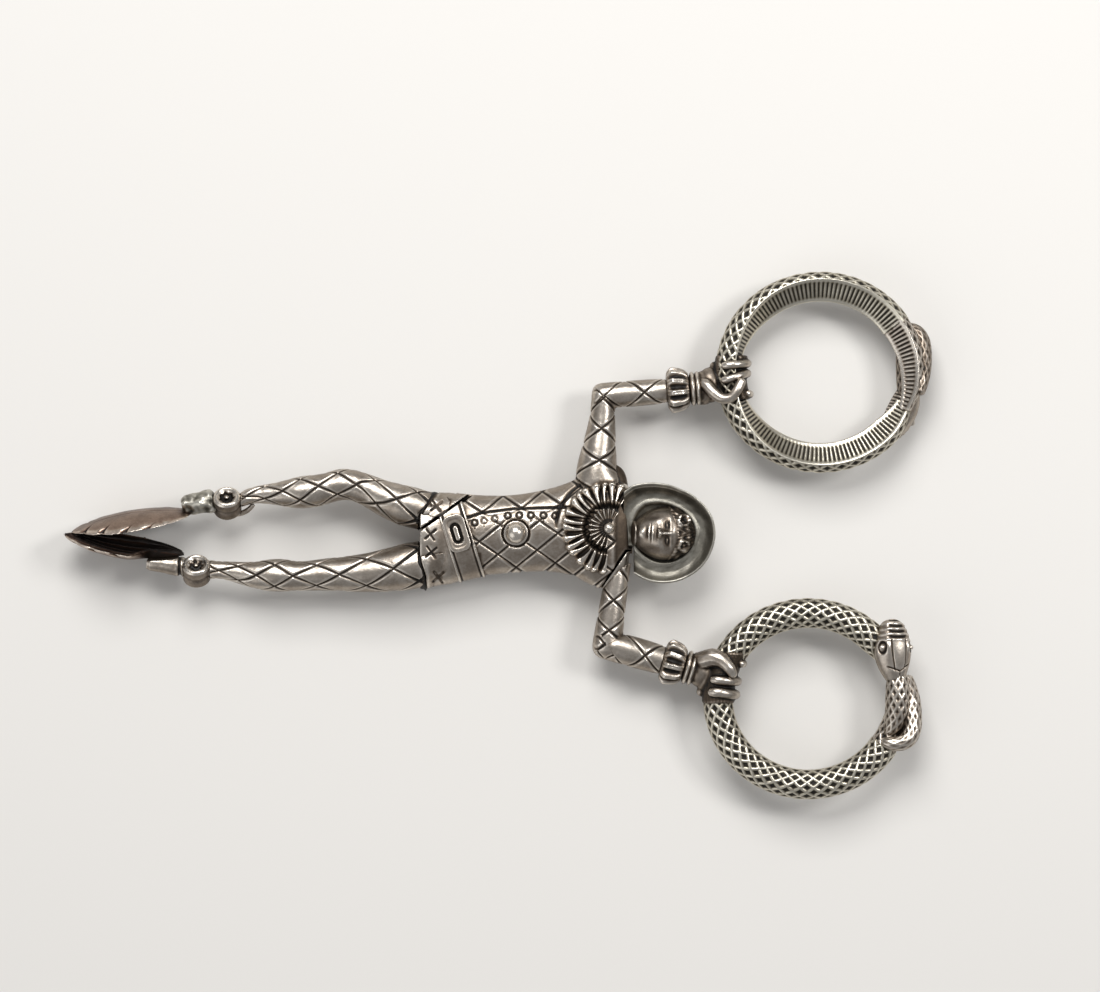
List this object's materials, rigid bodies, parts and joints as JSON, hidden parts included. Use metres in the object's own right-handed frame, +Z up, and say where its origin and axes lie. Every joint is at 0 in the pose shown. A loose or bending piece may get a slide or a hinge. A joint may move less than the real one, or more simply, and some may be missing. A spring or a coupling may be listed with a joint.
{
  "type": "sugar nips",
  "caption": "Figural sugar nips: two crossing cast silver halves on a rivet, leaf claws for feet, snake finger loops in the fists of a costumed figure.",
  "frame": {"origin": "centre of the rivet's flat tail, on the table under the pivot", "axes": "+X from the pivot to the finger loops, +Y across to the front half's loop, +Z up along the rivet to its ball head"},
  "size_m": [0.1218, 0.0737, 0.0101],
  "materials": {
    "back_arm": "cast and chased silver, tarnished in the grooves",
    "back_belt": "cast and chased silver, tarnished in the grooves",
    "back_claw": "cast and chased silver, tarnished in the grooves",
    "back_cuff": "cast and chased silver, tarnished in the grooves",
    "back_hand": "cast and chased silver, tarnished in the grooves",
    "back_leg": "cast and chased silver, tarnished in the grooves",
    "back_ribbon": "cast and chased silver, tarnished in the grooves",
    "back_rosette": "cast and chased silver, tarnished in the grooves",
    "back_shoe": "cast and chased silver, tarnished in the grooves",
    "back_snake_head": "cast and chased silver, tarnished in the grooves",
    "back_snake_loop": "cast and chased silver, tarnished in the grooves",
    "back_snake_tail": "cast and chased silver, tarnished in the grooves",
    "back_torso": "cast and chased silver, tarnished in the grooves",
    "back_wrist_band": "cast and chased silver, tarnished in the grooves",
    "belt_buckle": "cast and chased silver, tarnished in the grooves",
    "front_arm": "cast and chased silver, tarnished in the grooves",
    "front_belt": "cast and chased silver, tarnished in the grooves",
    "front_claw": "cast and chased silver, tarnished in the grooves",
    "front_cuff": "cast and chased silver, tarnished in the grooves",
    "front_hand": "cast and chased silver, tarnished in the grooves",
    "front_leg": "cast and chased silver, tarnished in the grooves",
    "front_rosette": "cast and chased silver, tarnished in the grooves",
    "front_shoe": "cast and chased silver, tarnished in the grooves",
    "front_snake_head": "cast and chased silver, tarnished in the grooves",
    "front_snake_loop": "cast and chased silver, tarnished in the grooves",
    "front_snake_tail": "cast and chased silver, tarnished in the grooves",
    "front_torso": "cast and chased silver, tarnished in the grooves",
    "front_wrist_band": "cast and chased silver, tarnished in the grooves",
    "hat": "cast and chased silver, tarnished in the grooves",
    "head": "cast and chased silver, tarnished in the grooves",
    "inner_ruff": "cast and chased silver, tarnished in the grooves",
    "outer_ruff": "cast and chased silver, tarnished in the grooves",
    "pivot_rivet": "cast and chased silver, tarnished in the grooves",
    "ruff_button": "cast and chased silver, tarnished in the grooves"
  },
  "bodies": {
    "front_half": {"front_torso": "front_torso", "pivot_rivet": "pivot_rivet", "front_belt": "front_belt", "belt_buckle": "belt_buckle", "outer_ruff": "outer_ruff", "inner_ruff": "inner_ruff", "ruff_button": "ruff_button", "head": "head", "hat": "hat", "front_arm": "front_arm", "front_claw": "front_claw", "front_cuff": "front_cuff", "front_hand": "front_hand", "front_leg": "front_leg", "front_rosette": "front_rosette", "front_shoe": "front_shoe", "front_snake_head": "front_snake_head", "front_snake_loop": "front_snake_loop", "front_snake_tail": "front_snake_tail", "front_wrist_band": "front_wrist_band"},
    "back_half": {"back_arm": "back_arm", "back_belt": "back_belt", "back_claw": "back_claw", "back_cuff": "back_cuff", "back_hand": "back_hand", "back_leg": "back_leg", "back_ribbon": "back_ribbon", "back_rosette": "back_rosette", "back_shoe": "back_shoe", "back_snake_head": "back_snake_head", "back_snake_loop": "back_snake_loop", "back_snake_tail": "back_snake_tail", "back_torso": "back_torso", "back_wrist_band": "back_wrist_band"}
  },
  "joints": [
    {"name": "pivot", "type": "hinge", "parent": "front_half", "child": "back_half", "pos_m": [0, 0, 0.0048], "axis": [0, 0, -1], "range_deg": [0, 75]}
  ]
}
